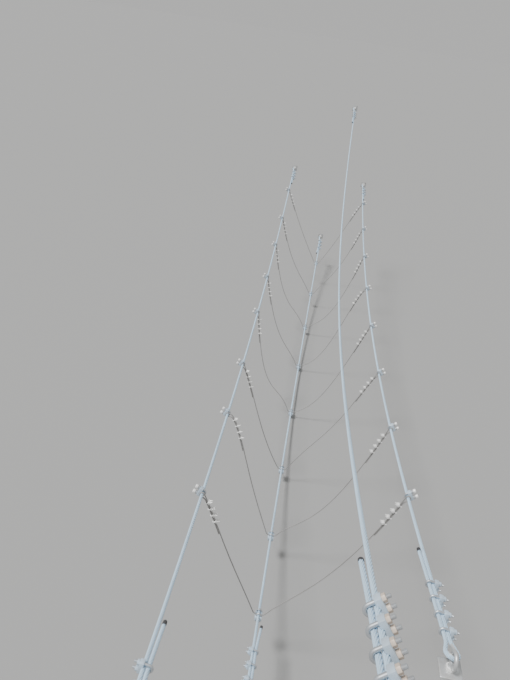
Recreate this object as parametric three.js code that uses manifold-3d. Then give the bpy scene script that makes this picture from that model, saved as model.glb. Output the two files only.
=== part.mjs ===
// Four-cable wire rope footbridge: a foot cable, two hand cables and a safety cable above, slung between
// eight ring anchors, with eight V-shaped suspender ropes that tie the foot cable to the hand cables.
// Millimetres, +Z up, X to the right and Y along the bridge from the near end to the far end.
// The origin is the middle of the back face of the near foot anchor's plate.
import * as THREE from "three";
import { mergeVertices } from "three/addons/utils/BufferGeometryUtils.js";
import Module from "manifold-3d";

const wasm = await Module();
wasm.setup();

// Each cable runs between two anchors. near and far are the centres of their rings, sag is measured at
// midspan, and the tails say on which side of the live rope each dead end lies: -1 left, 1 right. The plays
// allow for the angle at which each eye hangs in its ring, so that the two don't meet. nearRoll is how many
// degrees the plane of the near eye dips to the right, and nearLean how far its anchor leans with it. nearNuts
// says to which side the near grips' nuts point. gripPitch is the distance from one grip to the next, nearOver
// is how far the near dead end reaches past the last one, and tailLift how far a dead end's tip stands off.
const CABLES = {
  foot_cable: {
    anchors: "foot",
    nearPlay: 1.25,
    farPlay: 1.4,
    nearRoll: 10,
    nearLean: 0,
    nearNuts: -1,
    radius: 9,
    near: [0, 0, 60],
    far: [0, 8850, 60],
    sag: 515,
    nearTail: 1,
    farTail: -1,
    gripPitch: 112,
    nearOver: 230,
    tailLift: 14,
  },
  left_hand_cable: {
    anchors: "left",
    nearPlay: 1.4,
    farPlay: 1.75,
    nearRoll: 10,
    nearLean: 0,
    nearNuts: -1,
    radius: 9,
    near: [-424, -1030, 1353],
    far: [-676, 8851, 1204],
    sag: 615,
    nearTail: 1,
    farTail: 1,
    gripPitch: 102,
    nearOver: 253,
    tailLift: 5,
  },
  right_hand_cable: {
    anchors: "right",
    nearPlay: 1.4,
    farPlay: 1.4,
    nearRoll: 10,
    nearLean: 0,
    nearNuts: 1,
    radius: 9,
    near: [710, -390, 1412],
    far: [562, 8756, 1133],
    sag: 498,
    nearTail: -1,
    farTail: 1,
    gripPitch: 99,
    nearOver: 261,
    tailLift: 5,
  },
  safety_cable: {
    anchors: "safety",
    nearPlay: 3.5,
    farPlay: 2.9,
    nearRoll: -40,
    nearLean: -40,
    nearNuts: 1,
    radius: 8,
    near: [180, -1365, 2439],
    far: [159, 8898, 2329],
    sag: 892,
    nearTail: -1,
    farTail: -1,
    gripPitch: 75,
    nearOver: 215,
    tailLift: 5,
  },
};

// Suspenders: where each one meets the foot cable, and how far its left clamp has crept along the hand cable.
const STATIONS = [820, 1700, 2695, 3805, 4895, 5960, 6975, 7980];
const LEFT_CREEP = [-125, 50, -30, 95, 25, 15, -50, 0];
// How far each slack leg hangs at most below the straight line between its two ends, how much that belly is
// pushed up towards the hand cable, with 1 for not at all, and how far the leg stands out near its top, where
// its rope is doubled and stiff.
const LEFT_LEGS = [
  [41, 2.4, 37],
  [0, 1.3, 96],
  [81, 0.92, 35],
  [306, 1.94, 0],
  [203, 1.66, 0],
  [240, 1.8, 0],
  [140, 1.6, 0],
  [50, 1.2, 0],
];
const RIGHT_LEGS = [
  [159, 1.49, 0],
  [264, 1.51, 40],
  [206, 2.71, 140],
  [264, 1.09, 44],
  [261, 1.11, 136],
  [290, 1.25, 0],
  [150, 1.5, 0],
  [44, 1, 31],
];
const SUSPENDER_RADIUS = 4;
// Shares of the way down a leg at which its route is set out.
const LEG_SHARES = [0, 0.03, 0.08, 0.15, 0.24, 0.34, 0.45, 0.57, 0.69, 0.8, 0.9];
const TOP_SHARE = 0.08; // of a leg, which sets the angle at which it leaves its hand cable
const BESIDE_CLAMP = 22; // from the middle of a hand cable clamp to the rope hung next to it
const UNDERPASS = 12; // half of the straight stretch that passes under the foot cable
const SUSPENDER_BEND = 34;

// Ring anchor: square plate, hex nut, neck and ring.
const PLATE = 90;
const PLATE_THICK = 8;
const NUT_FLATS = 36;
const NUT_THICK = 16;
const NECK_RADIUS = 12;
const RING_INNER = 21;
const RING_BAR = 8.5;
const RING_OFFSET = 60;

// Cable end: rope eye round a thimble, dead end held back along the live rope by U-bolt grips.
// Degrees that the planes of the far eyes dip to the right. The far rings are square to their eyes.
const FAR_ROLL = 40;
const EYE_RADIUS = 28;
const THIMBLE_THICK = 3;
const THIMBLE_FLANGE = 2;
const THROAT = 90;
const STRAND_GAP = 0.5;
const GRIP_FIRST = 146;
const NEAR_GRIPS = 4;
const FAR_GRIPS = 3;
const FAR_OVER = 230; // how far a far dead end reaches past its last grip

// U-bolts, as square bar bent round the rope, with a saddle and two nuts.
const BOLT_BAR = 11;
const SADDLE_THICK = 12;
const SADDLE_LENGTH = 28;
const BOLT_NUT_FLATS = 19;
const BOLT_NUT_THICK = 10;
const THREAD_LEFT = 12;
const SEAT_GAP = 0.4;
const SADDLE_BITE = 0.6;

// Hand cable clamp: a large U-bolt with a thick saddle, nuts, and long legs that end in domed caps.
const CLAMP_BAR = 12;
const CLAMP_INNER = 12;
const CLAMP_SADDLE = 18;
const CLAMP_LENGTH = 32;
const CLAMP_LEG = 52;
const CAP_RADIUS = 10.5;
const CAP_LENGTH = 17;
const LEFT_LIFT = 20; // degrees that the legs point above level
const RIGHT_LIFT = 34;

const FOOT_BOLT_PITCH = 44;

const SEAT_HALF = 45; // half of the straight stretch that a clamp sits on
const LONGEST_STEP = 600; // between two rings of a rope's surface
const ROPE_SIDES = 8;
const THIN_ROPE_SIDES = 6;
const FLATNESS = 0.02; // how far a joined piece's faces may move to save triangles
const degrees = THREE.MathUtils.degToRad;
const vec = (x, y, z) => new THREE.Vector3(x, y, z);
const X = vec(1, 0, 0);
const Y = vec(0, 1, 0);
const Z = vec(0, 0, 1);

const galvanised = new THREE.MeshStandardMaterial({
  color: 0xb9c4cf,
  roughness: 0.45,
  metalness: 0.85,
});
const zinc = new THREE.MeshStandardMaterial({
  color: 0xd3d6d8,
  roughness: 0.35,
  metalness: 0.9,
});
const dullWire = new THREE.MeshStandardMaterial({
  color: 0x8d8a86,
  roughness: 0.6,
  metalness: 0.7,
});

// Solids

function toSolid(geometry) {
  const bare = geometry.index ? geometry.toNonIndexed() : geometry.clone();
  bare.deleteAttribute("normal");
  bare.deleteAttribute("uv");
  const merged = mergeVertices(bare, 1e-3);
  return new wasm.Manifold(
    new wasm.Mesh({
      numProp: 3,
      vertProperties: merged.attributes.position.array,
      triVerts: new Uint32Array(merged.index.array),
    }),
  );
}

// Joins pieces into one body. Pockets of air that the joining seals in are filled.
function fuse(geometries) {
  const whole = geometries.map(toSolid).reduce((all, piece) => all.add(piece));
  const bodies = whole.decompose().sort((a, b) => b.volume() - a.volume());
  const mesh = bodies[0].asOriginal().simplify(FLATNESS).getMesh();
  const fused = new THREE.BufferGeometry();
  fused.setAttribute(
    "position",
    new THREE.BufferAttribute(mesh.vertProperties, 3),
  );
  fused.setIndex(new THREE.BufferAttribute(mesh.triVerts, 1));
  return fused;
}

function addPiece(group, name, geometry, material) {
  geometry.computeVertexNormals();
  const mesh = new THREE.Mesh(geometry, material);
  mesh.name = name;
  group.add(mesh);
  return mesh;
}

// A curve whose evenly spaced points are exactly the points that it is given.
class Route extends THREE.Curve {
  constructor(points) {
    super();
    this.points = points;
  }
  getPoint(t) {
    const place = t * (this.points.length - 1);
    const first = Math.min(Math.floor(place), this.points.length - 2);
    return this.points[first]
      .clone()
      .lerp(this.points[first + 1], place - first);
  }
  getPointAt(u) {
    return this.getPoint(u);
  }
  getTangentAt(u) {
    const last = this.points.length - 1;
    const place = Math.round(u * last);
    const from = this.points[Math.max(place - 1, 0)];
    const to = this.points[Math.min(place + 1, last)];
    return to.clone().sub(from).normalize();
  }
}

function ropeAlong(points, radius, sides) {
  const section = new THREE.Shape();
  for (let side = 0; side < sides; side++) {
    const angle = (2 * Math.PI * side) / sides;
    const corner = [radius * Math.cos(angle), radius * Math.sin(angle)];
    if (side === 0) section.moveTo(...corner);
    else section.lineTo(...corner);
  }
  section.closePath();
  return new THREE.ExtrudeGeometry(section, {
    steps: points.length - 1,
    extrudePath: new Route(points),
  });
}

// An outline in the plane of along and across, made thick evenly on both sides of it. A hole runs the other
// way round from the outline.
function plateIn(outline, hole, thick, origin, along, across) {
  const shape = new THREE.Shape(outline);
  if (hole) shape.holes.push(new THREE.Path(hole));
  const plate = new THREE.ExtrudeGeometry(shape, {
    depth: thick,
    bevelEnabled: false,
  });
  plate.translate(0, 0, -thick / 2);
  const normal = along.clone().cross(across);
  const place = new THREE.Matrix4().makeBasis(along, across, normal);
  return plate.applyMatrix4(place.setPosition(origin));
}

function hexNut(flats, thick) {
  return new THREE.CylinderGeometry(
    flats / Math.sqrt(3),
    flats / Math.sqrt(3),
    thick,
    6,
  );
}

// Half a ring as flats, from the bottom round the back to the top, or the other way.
function halfRing(radius, backwards, centre) {
  const corners = [];
  for (let turn = 0; turn <= 4; turn++) {
    const angle = (-Math.PI * turn) / 4 - Math.PI / 2;
    const reach = turn % 4 === 0 ? radius : radius / Math.cos(Math.PI / 8);
    corners.push(
      new THREE.Vector2(
        centre + reach * Math.cos(angle),
        reach * Math.sin(angle),
      ),
    );
  }
  return backwards ? corners.reverse() : corners;
}

// A U-bolt round a rope that runs along Y, in the plane of X and Z with its legs along +X. centre is the
// middle of its arc, inner the arc's inside radius, nutSeat where the nuts bear and legEnd where it ends.
function uBolt({ centre, inner, bar, nutSeat, legEnd }) {
  const outer = inner + bar;
  const arch = [
    new THREE.Vector2(legEnd, -outer),
    ...halfRing(outer, false, centre),
    new THREE.Vector2(legEnd, outer),
    new THREE.Vector2(legEnd, inner),
    ...halfRing(inner, true, centre),
    new THREE.Vector2(legEnd, -inner),
  ];
  const pieces = [plateIn(arch, null, bar, vec(0, 0, 0), X, Z)];
  for (const side of [-1, 1]) {
    const nut = hexNut(BOLT_NUT_FLATS, BOLT_NUT_THICK);
    nut.rotateZ(Math.PI / 2);
    nut.translate(
      nutSeat + BOLT_NUT_THICK / 2 - 0.1,
      0,
      side * (inner + bar / 2),
    );
    pieces.push(nut);
  }
  return pieces;
}

// The U-bolt of a grip or a foot clamp.
function plainBolt(inner, nutSeat) {
  const legEnd = nutSeat + BOLT_NUT_THICK + THREAD_LEFT;
  return uBolt({ centre: 0, inner, bar: BOLT_BAR, nutSeat, legEnd });
}

function saddle(width, seat, thick, length) {
  const block = new THREE.BoxGeometry(thick, length, width);
  return block.translate(seat + thick / 2, 0, 0);
}

// Places pieces that were made round a rope along Y so that their legs point along legs.
function placeOnRope(pieces, point, rope, legs) {
  const across = legs.clone().addScaledVector(rope, -legs.dot(rope)).normalize();
  const upright = across.clone().cross(rope);
  const place = new THREE.Matrix4().makeBasis(across, rope, upright);
  place.setPosition(point);
  return pieces.map((piece) => piece.applyMatrix4(place));
}

// Main cables

function spanPoint(cable, share) {
  const point = cable.start.clone().lerp(cable.end, share);
  point.z -= 4 * cable.hang * share * (1 - share);
  return point;
}

function spanDirection(cable, share) {
  const step = 1e-4;
  return spanPoint(cable, share + step)
    .sub(spanPoint(cable, share - step))
    .normalize();
}

// The share of a cable's span at a given distance along the bridge.
function shareAt(cable, y) {
  return (y - cable.start.y) / (cable.end.y - cable.start.y);
}

// The eye at one end: the crown of the rope bears on the ring, and the two strands close to one another at
// the throat. inward points from the anchor into the span.
function makeEnd(ring, inward, radius, side, play, roll) {
  const dip = degrees(roll);
  const right = vec(Math.cos(dip), 0, -Math.sin(dip));
  right.addScaledVector(inward, -right.dot(inward)).normalize();
  const halfWidth = radius + THIMBLE_FLANGE;
  const reach = Math.sqrt((RING_INNER - play) ** 2 - halfWidth ** 2);
  const crown = ring
    .clone()
    .addScaledVector(inward, reach - radius - THIMBLE_THICK);
  const centre = crown.clone().addScaledVector(inward, EYE_RADIUS);
  const halfPitch = radius + STRAND_GAP / 2;
  const throat = crown.clone().addScaledVector(inward, THROAT);
  return { crown, centre, right, halfPitch, throat, inward, side };
}

function eyePoints(end) {
  const points = [];
  for (const angle of [105, 75, 45, 15, -15, -45, -75, -105]) {
    const turn = degrees(angle);
    points.push(
      end.centre
        .clone()
        .addScaledVector(end.inward, -EYE_RADIUS * Math.cos(turn))
        .addScaledVector(end.right, end.side * EYE_RADIUS * Math.sin(turn)),
    );
  }
  return points;
}

function thimble(end, radius) {
  const ring = (eyeRadius, tip) => {
    const outline = [];
    for (let angle = -105; angle <= 105; angle += 30) {
      const turn = degrees(angle);
      outline.push(
        new THREE.Vector2(
          EYE_RADIUS - eyeRadius * Math.cos(turn),
          eyeRadius * Math.sin(turn),
        ),
      );
    }
    outline.push(new THREE.Vector2(tip, 0));
    return outline;
  };
  const outer = ring(EYE_RADIUS - radius - SEAT_GAP, THROAT + 16);
  const inner = ring(EYE_RADIUS - radius - THIMBLE_THICK, THROAT - 24).reverse();
  const width = 2 * (radius + THIMBLE_FLANGE);
  return plateIn(outer, inner, width, end.crown, end.inward, end.right);
}

function layCable(spec) {
  const nearRing = vec(...spec.near);
  const farRing = vec(...spec.far);
  const chord = { start: nearRing, end: farRing, hang: spec.sag };
  const near = makeEnd(
    nearRing,
    spanDirection(chord, 0),
    spec.radius,
    spec.nearTail,
    spec.nearPlay,
    spec.nearRoll,
  );
  const far = makeEnd(
    farRing,
    spanDirection(chord, 1).negate(),
    spec.radius,
    spec.farTail,
    spec.farPlay,
    FAR_ROLL,
  );
  const liveSide = (end) =>
    end.throat.clone().addScaledVector(end.right, -end.side * end.halfPitch);
  const start = liveSide(near);
  const end = liveSide(far);
  const shorter = (end.y - start.y) / (farRing.y - nearRing.y);
  return { start, end, hang: spec.sag * shorter * shorter, near, far };
}

// Shares of the span at given distances from one of its ends.
function sharesFrom(cable, distances, fromFar) {
  const span = cable.end.distanceTo(cable.start);
  return distances.map((d) => (fromFar ? 1 - d / span : d / span));
}

function deadEnd(cable, end, spec, grips, fromFar) {
  const last = GRIP_FIRST + (grips - 1) * spec.gripPitch - THROAT;
  const over = fromFar ? FAR_OVER : spec.nearOver;
  const distances = [0, last / 2, last, last + over / 2, last + over];
  const lifts = [0, 0, 0, spec.tailLift * 0.4, spec.tailLift];
  return sharesFrom(cable, distances, fromFar).map((share, i) =>
    spanPoint(cable, share).addScaledVector(
      end.right,
      end.side * (2 * end.halfPitch + lifts[i]),
    ),
  );
}

// nuts says to which side the grips' nuts point: 1 right, -1 left.
function cableGrips(cable, end, spec, grips, fromFar, nuts) {
  const pieces = [];
  for (let i = 0; i < grips; i++) {
    const distance = GRIP_FIRST + i * spec.gripPitch - THROAT;
    const [share] = sharesFrom(cable, [distance], fromFar);
    const live = spanPoint(cable, share);
    const dead = live
      .clone()
      .addScaledVector(end.right, end.side * 2 * end.halfPitch);
    const arcSide = nuts * end.side > 0 ? live : dead;
    const inner = spec.radius + SEAT_GAP;
    const seat = 2 * end.halfPitch + spec.radius - SADDLE_BITE;
    const width = 2 * (inner + BOLT_BAR) + 8;
    const grip = [
      ...plainBolt(inner, seat + SADDLE_THICK),
      saddle(width, seat, SADDLE_THICK, SADDLE_LENGTH),
    ];
    const direction = spanDirection(cable, share);
    const legs = end.right.clone().multiplyScalar(nuts);
    pieces.push(...placeOnRope(grip, arcSide, direction, legs));
  }
  return pieces;
}

// Shares of the span at which the rope's surface has a ring: one each side of every clamp, so that each
// clamp sits on a straight stretch, and more of them where the rope would otherwise look angular.
function ropeShares(cable, clamps) {
  const span = cable.end.distanceTo(cable.start);
  const fixed = [
    ...sharesFrom(cable, [0, 170, 360], false),
    ...clamps.flatMap((y) => [
      shareAt(cable, y) - SEAT_HALF / span,
      shareAt(cable, y) + SEAT_HALF / span,
    ]),
    ...sharesFrom(cable, [360, 170, 0], true),
  ];
  return fixed.flatMap((share, i) => {
    if (i === 0) return [share];
    const gap = share - fixed[i - 1];
    const steps = Math.ceil((gap * span) / LONGEST_STEP);
    return Array.from(
      { length: steps },
      (_, k) => fixed[i - 1] + (gap * (k + 1)) / steps,
    );
  });
}

// The straight stretch of a cable that the clamp at a given distance along the bridge sits on.
function clampSeat(cable, y) {
  const half = SEAT_HALF / cable.end.distanceTo(cable.start);
  const from = spanPoint(cable, shareAt(cable, y) - half);
  const to = spanPoint(cable, shareAt(cable, y) + half);
  return {
    point: from.clone().add(to).multiplyScalar(0.5),
    direction: to.clone().sub(from).normalize(),
  };
}

function makeCable(spec) {
  const cable = layCable(spec);
  const nearTail = deadEnd(cable, cable.near, spec, NEAR_GRIPS, false);
  const farTail = deadEnd(cable, cable.far, spec, FAR_GRIPS, true);
  const shares = ropeShares(cable, spec.clamps);
  const route = [
    ...nearTail.reverse(),
    ...eyePoints(cable.near),
    ...shares.map((share) => spanPoint(cable, share)),
    ...eyePoints(cable.far).reverse(),
    ...farTail,
  ];
  const pieces = [
    ropeAlong(route, spec.radius, ROPE_SIDES),
    thimble(cable.near, spec.radius),
    thimble(cable.far, spec.radius),
    ...cableGrips(cable, cable.near, spec, NEAR_GRIPS, false, spec.nearNuts),
    ...cableGrips(cable, cable.far, spec, FAR_GRIPS, true, 1),
  ];
  return { cable, geometry: fuse(pieces) };
}

// Anchors

function makeAnchor(roll) {
  const plate = new THREE.BoxGeometry(PLATE, PLATE_THICK, PLATE);
  plate.translate(0, PLATE_THICK / 2, 0);
  const nut = hexNut(NUT_FLATS, NUT_THICK);
  nut.translate(0, PLATE_THICK + NUT_THICK / 2 - 0.1, 0);
  const neckEnd = RING_OFFSET - RING_INNER - RING_BAR;
  const neck = new THREE.CylinderGeometry(
    NECK_RADIUS,
    NECK_RADIUS,
    neckEnd - PLATE_THICK,
    10,
  );
  neck.translate(0, (neckEnd + PLATE_THICK) / 2, 0);
  const ring = new THREE.TorusGeometry(RING_INNER + RING_BAR, RING_BAR, 6, 14);
  ring.rotateY(Math.PI / 2 + degrees(roll));
  ring.translate(0, RING_OFFSET, 0);
  return fuse([plate, nut, neck, ring]);
}

// Clamps

function handClamp(seat, outward, lift) {
  const rope = CABLES.left_hand_cable.radius + SEAT_GAP;
  const nutSeat = rope + CLAMP_SADDLE;
  const pieces = uBolt({
    centre: CLAMP_INNER - rope,
    inner: CLAMP_INNER,
    bar: CLAMP_BAR,
    nutSeat,
    legEnd: CLAMP_LEG,
  });
  const width = 2 * (CLAMP_INNER + CLAMP_BAR) + 4;
  pieces.push(saddle(width, rope, CLAMP_SADDLE, CLAMP_LENGTH));
  for (const side of [-1, 1]) {
    const cap = new THREE.CylinderGeometry(CAP_RADIUS, CAP_RADIUS, CAP_LENGTH, 8);
    cap.rotateZ(Math.PI / 2);
    cap.translate(
      CLAMP_LEG + 4 - CAP_LENGTH / 2,
      0,
      side * (CLAMP_INNER + CLAMP_BAR / 2),
    );
    pieces.push(cap);
  }
  const turn = degrees(lift);
  const legs = vec(outward * Math.cos(turn), 0, Math.sin(turn));
  return fuse(placeOnRope(pieces, seat.point, seat.direction, legs));
}

// Two U-bolts over the foot cable, on one base whose slot lets the suspender pass between them underneath.
function footClamp(seat) {
  const radius = CABLES.foot_cable.radius + SEAT_GAP;
  const slotFloor = radius + 2 * SUSPENDER_RADIUS + 1;
  const baseBottom = radius + SADDLE_THICK + 5;
  const half = FOOT_BOLT_PITCH / 2;
  const blockEnd = half + 14;
  const slotHalf = half - BOLT_BAR / 2 - 5;
  const profile = [
    [radius, -blockEnd],
    [radius, -slotHalf],
    [slotFloor, -slotHalf],
    [slotFloor, slotHalf],
    [radius, slotHalf],
    [radius, blockEnd],
    [baseBottom, blockEnd],
    [baseBottom, -blockEnd],
  ].map(([down, along]) => new THREE.Vector2(down, along));
  const width = 2 * (radius + BOLT_BAR) + 8;
  const base = plateIn(profile, null, width, vec(0, 0, 0), X, Y);
  const pieces = [base];
  for (const side of [-1, 1]) {
    const bolt = plainBolt(radius, baseBottom);
    pieces.push(...bolt.map((piece) => piece.translate(0, side * half, 0)));
  }
  const down = Z.clone().negate();
  return fuse(placeOnRope(pieces, seat.point, seat.direction, down));
}

// Suspenders

// How far a slack leg hangs below its straight line, share of the way from its top to its foot.
function belly([sag, skew, shoulder], share) {
  const curve = (tilt) => {
    const peak = (tilt / (1 + tilt)) ** tilt / (1 + tilt);
    return (share * (1 - share) ** tilt) / peak;
  };
  return sag * curve(skew) - shoulder * curve(4);
}

function legPoint(top, foot, shape, share) {
  const point = top.clone().lerp(foot, share);
  point.z -= belly(shape, share);
  return point;
}

// Where a leg leaves its hand cable, just on the near side of the clamp.
function legTop(seat, foot, side, shape) {
  const over = X.clone().cross(seat.direction).normalize();
  const inner = seat.direction.clone().cross(over).multiplyScalar(-side);
  const centre = seat.point
    .clone()
    .addScaledVector(seat.direction, -BESIDE_CLAMP);
  const run = Math.abs(centre.x - foot.x) - UNDERPASS;
  const fall = centre.z - foot.z + belly(shape, TOP_SHARE) / TOP_SHARE;
  const steep = Math.atan2(fall, run);
  const wrap = CABLES.left_hand_cable.radius + SUSPENDER_RADIUS + 0.5;
  return centre
    .addScaledVector(inner, wrap * Math.sin(steep))
    .addScaledVector(over, wrap * Math.cos(steep));
}

// Where the straight stretch under the foot cable has bent up into a leg, and the angle it has then.
function legFoot(under, top, side, shape) {
  let foot = under.clone();
  let angle = 0;
  for (let round = 0; round < 5; round++) {
    const above = legPoint(top, foot, shape, 0.95);
    angle = Math.atan2(above.z - foot.z, Math.abs(above.x - foot.x));
    foot = bendPoint(under, side, angle);
  }
  return { foot, angle };
}

function bendPoint(under, side, angle) {
  const reach = UNDERPASS + SUSPENDER_BEND * Math.sin(Math.abs(angle));
  const rise = Math.sign(angle) * SUSPENDER_BEND * (1 - Math.cos(angle));
  return under.clone().add(vec(side * reach, 0, rise));
}

function legRoute(seat, under, side, shape) {
  const top = legTop(seat, under, side, shape);
  const { foot, angle } = legFoot(under, top, side, shape);
  return [
    ...LEG_SHARES.map((share) => legPoint(top, foot, shape, share)),
    foot,
    bendPoint(under, side, angle / 2),
    bendPoint(under, side, 0),
  ];
}

// Assembly

const bridge = new THREE.Group();
bridge.name = "footbridge";
const laid = {};
CABLES.foot_cable.clamps = STATIONS;
CABLES.left_hand_cable.clamps = STATIONS.map((y, i) => y + LEFT_CREEP[i]);
CABLES.right_hand_cable.clamps = STATIONS;
CABLES.safety_cable.clamps = [];

for (const [name, spec] of Object.entries(CABLES)) {
  const { cable, geometry } = makeCable(spec);
  laid[name] = cable;
  addPiece(bridge, name, geometry, galvanised);
  // The near anchors stand upright, and the safety cable's leans over with its eye.
  const lean = degrees(spec.nearLean);
  const shank = vec(Math.sin(lean), 0, Math.cos(lean));
  const nearAnchor = addPiece(
    bridge,
    `near_${spec.anchors}_anchor`,
    makeAnchor(0).rotateX(Math.PI / 2).rotateY(lean),
    zinc,
  );
  nearAnchor.position.set(...spec.near).addScaledVector(shank, -RING_OFFSET);
  const farAnchor = addPiece(
    bridge,
    `far_${spec.anchors}_anchor`,
    makeAnchor(-FAR_ROLL).rotateZ(Math.PI),
    zinc,
  );
  farAnchor.position.set(...spec.far).y += RING_OFFSET;
}

STATIONS.forEach((station, i) => {
  const number = i + 1;
  const foot = clampSeat(laid.foot_cable, station);
  const left = clampSeat(laid.left_hand_cable, station + LEFT_CREEP[i]);
  const right = clampSeat(laid.right_hand_cable, station);
  addPiece(bridge, `foot_clamp_${number}`, footClamp(foot), zinc);
  addPiece(bridge, `left_clamp_${number}`, handClamp(left, -1, LEFT_LIFT), zinc);
  addPiece(bridge, `right_clamp_${number}`, handClamp(right, 1, RIGHT_LIFT), zinc);
  const under = foot.point.clone();
  under.z -= CABLES.foot_cable.radius + SEAT_GAP + SUSPENDER_RADIUS + 0.5;
  const route = [
    ...legRoute(left, under, -1, LEFT_LEGS[i]),
    ...legRoute(right, under, 1, RIGHT_LEGS[i]).reverse(),
  ];
  const rope = ropeAlong(route, SUSPENDER_RADIUS, THIN_ROPE_SIDES);
  addPiece(bridge, `suspender_${number}`, fuse([rope]), dullWire);
});

export default bridge;
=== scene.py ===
import math

import bpy
import numpy as np
from mathutils import Matrix, Vector


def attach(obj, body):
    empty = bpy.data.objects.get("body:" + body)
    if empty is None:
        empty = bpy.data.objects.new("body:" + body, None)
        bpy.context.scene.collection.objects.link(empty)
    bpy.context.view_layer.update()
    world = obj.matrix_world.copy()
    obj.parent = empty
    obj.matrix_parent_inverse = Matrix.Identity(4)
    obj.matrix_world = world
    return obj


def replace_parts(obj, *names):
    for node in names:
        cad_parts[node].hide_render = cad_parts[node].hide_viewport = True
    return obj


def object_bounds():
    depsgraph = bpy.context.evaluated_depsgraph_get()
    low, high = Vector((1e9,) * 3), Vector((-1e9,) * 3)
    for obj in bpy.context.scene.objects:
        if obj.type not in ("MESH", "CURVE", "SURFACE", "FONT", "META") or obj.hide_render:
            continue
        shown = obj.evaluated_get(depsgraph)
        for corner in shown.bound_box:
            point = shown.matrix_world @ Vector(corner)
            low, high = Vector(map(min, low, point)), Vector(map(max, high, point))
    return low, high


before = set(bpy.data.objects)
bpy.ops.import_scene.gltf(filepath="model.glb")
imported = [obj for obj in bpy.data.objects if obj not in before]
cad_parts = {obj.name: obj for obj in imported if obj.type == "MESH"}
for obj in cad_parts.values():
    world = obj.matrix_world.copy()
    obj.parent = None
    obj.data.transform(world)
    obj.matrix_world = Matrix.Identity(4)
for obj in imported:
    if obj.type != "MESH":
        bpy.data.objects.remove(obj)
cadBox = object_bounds()
print("the packed bridge is loaded")

# Wire rope footbridge: a foot cable, two hand cables and a safety cable above, between eight ring anchors.
# Metres, +Z up, +X to the right, +Y along the bridge from the near end to the far end.


# Camera, at the photograph's viewing angle

view = {
    "place": (-0.111, -1.968, 3.455),
    "yaw": -4.22,  # degrees, clockwise from +Y
    "pitch": 28.0,  # degrees downwards
    "roll": 8.67,
    "lens": 31.85,
}


def makeCamera():
    yaw, pitch, roll = (math.radians(view[key]) for key in ("yaw", "pitch", "roll"))
    forward = Vector((math.sin(yaw) * math.cos(pitch), math.cos(yaw) * math.cos(pitch), -math.sin(pitch)))
    level = Vector((math.cos(yaw), -math.sin(yaw), 0))
    upright = level.cross(forward)
    right = math.cos(roll) * level + math.sin(roll) * upright
    up = -math.sin(roll) * level + math.cos(roll) * upright
    data = bpy.data.cameras.new("camera")
    data.lens = view["lens"]
    data.sensor_width = 36
    data.clip_end = 1000
    camera = bpy.data.objects.new("camera", data)
    turn = Matrix((right, up, -forward)).transposed().to_4x4()
    camera.matrix_world = Matrix.Translation(view["place"]) @ turn
    bpy.context.scene.collection.objects.link(camera)
    bpy.context.scene.camera = camera


makeCamera()
print("camera in place")


# Hand tools

def deselect():
    if bpy.context.object and bpy.context.object.mode != "OBJECT":
        bpy.ops.object.mode_set(mode="OBJECT")
    bpy.ops.object.select_all(action="DESELECT")


def pick(piece):
    deselect()
    piece.select_set(True)
    bpy.context.view_layer.objects.active = piece


def applyModifiers(piece):
    pick(piece)
    for modifier in list(piece.modifiers):
        bpy.ops.object.modifier_apply(modifier=modifier.name)
    return piece


def bevelEdges(piece, width, segments=2, angle=40):
    bevel = piece.modifiers.new("bevel", "BEVEL")
    bevel.width = width
    bevel.segments = segments
    bevel.limit_method = "ANGLE"
    bevel.angle_limit = math.radians(angle)
    return applyModifiers(piece)


def bevelAlong(piece, direction, width, segments):
    # Rounds only the edges that run along one direction.
    pick(piece)
    bpy.ops.object.mode_set(mode="EDIT")
    bpy.ops.mesh.select_all(action="DESELECT")
    bpy.ops.object.mode_set(mode="OBJECT")
    way = Vector(direction)
    points = piece.data.vertices
    for edge in piece.data.edges:
        run = points[edge.vertices[1]].co - points[edge.vertices[0]].co
        edge.select = abs(run.normalized().dot(way)) > 0.99
    bpy.ops.object.mode_set(mode="EDIT")
    bpy.ops.mesh.select_mode(type="EDGE")
    bpy.ops.mesh.bevel(offset=width, segments=segments)
    bpy.ops.object.mode_set(mode="OBJECT")
    return piece


def cutAway(piece, cutter):
    cut = piece.modifiers.new("cut", "BOOLEAN")
    cut.object = cutter
    cut.operation = "DIFFERENCE"
    cut.solver = "EXACT"
    applyModifiers(piece)
    bpy.data.objects.remove(cutter)
    return piece


def joinPieces(name, pieces):
    deselect()
    for piece in pieces:
        piece.select_set(True)
    bpy.context.view_layer.objects.active = pieces[0]
    bpy.ops.object.join()
    joined = bpy.context.object
    joined.name = name
    return joined


def smoothFaces(piece, angle=35):
    pick(piece)
    bpy.ops.object.shade_smooth_by_angle(angle=math.radians(angle))
    return piece


def copyPiece(master, name, place):
    copy = master.copy()
    copy.data = master.data.copy()
    copy.name = name
    copy.data.name = name
    copy.data.transform(place)
    bpy.context.scene.collection.objects.link(copy)
    return copy


def addBlock(size, centre):
    deselect()
    bpy.ops.mesh.primitive_cube_add(size=1, location=centre)
    block = bpy.context.object
    block.scale = size
    bpy.ops.object.transform_apply(location=True, rotation=True, scale=True)
    return block


def addCylinder(radius, length, centre, axis="Z", sides=24):
    deselect()
    turn = {"X": (0, math.pi / 2, 0), "Y": (math.pi / 2, 0, 0), "Z": (0, 0, 0)}[axis]
    bpy.ops.mesh.primitive_cylinder_add(
        vertices=sides, radius=radius, depth=length, location=centre, rotation=turn
    )
    cylinder = bpy.context.object
    bpy.ops.object.transform_apply(location=True, rotation=True, scale=True)
    return cylinder


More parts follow.
